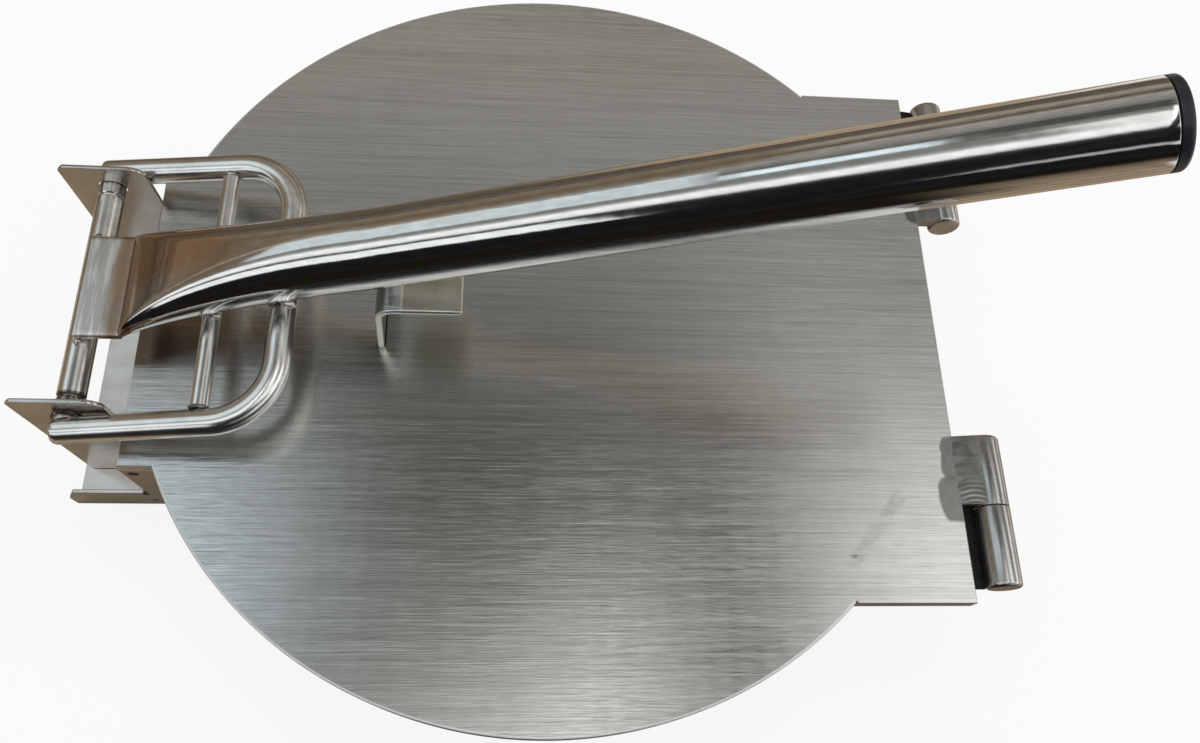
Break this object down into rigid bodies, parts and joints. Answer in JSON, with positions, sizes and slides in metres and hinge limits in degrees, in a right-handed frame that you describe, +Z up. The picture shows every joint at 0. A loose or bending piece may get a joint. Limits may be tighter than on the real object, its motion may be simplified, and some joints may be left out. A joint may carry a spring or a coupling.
{
  "type": "tortilla press",
  "caption": "Stainless steel tortilla press: round plates hinged on a bent sheet channel, pressed by a long tube lever that pivots between cheeks.",
  "frame": {"origin": "on the channel's underside, below the centre of the round plates", "axes": "+X from the lever's pivot to the plate hinges, +Y along both hinge axes, +Z up"},
  "size_m": [0.3552, 0.3048, 0.2016],
  "materials": {
    "brushed_plate": "brushed",
    "polished_sheet": "polished",
    "satin_rod": "satin",
    "turned_barrel": "satin",
    "mirror_tube": "mirror",
    "black_plastic": "matte"
  },
  "bodies": {
    "base": {"bottom_plate": "brushed_plate", "base_channel": "polished_sheet", "cheek_front": "polished_sheet", "cheek_back": "polished_sheet", "base_barrel_front": "turned_barrel", "base_barrel_back": "turned_barrel", "hinge_pin_front": "satin_rod", "hinge_pin_back": "satin_rod"},
    "top": {"top_plate": "brushed_plate", "bracket": "polished_sheet", "top_barrel_front": "turned_barrel", "top_barrel_back": "turned_barrel"},
    "lever": {"handle_tube": "mirror_tube", "end_cap": "black_plastic", "bail": "satin_rod", "crossbar": "satin_rod", "pivot_shaft": "satin_rod"}
  },
  "joints": [
    {"name": "lever_pivot", "type": "hinge", "parent": "base", "child": "lever", "pos_m": [-0.1666, 0, 0.0654], "axis": [0, -1, 0], "range_deg": [0, 165]},
    {"name": "plate_hinge", "type": "hinge", "parent": "base", "child": "top", "pos_m": [0.1637, 0, 0.0537], "axis": [0, 1, 0], "range_deg": [0, 13.5]}
  ],
  "couplings": [
    {"joint": "plate_hinge", "follows": "lever_pivot", "ratio": 0.08}
  ]
}
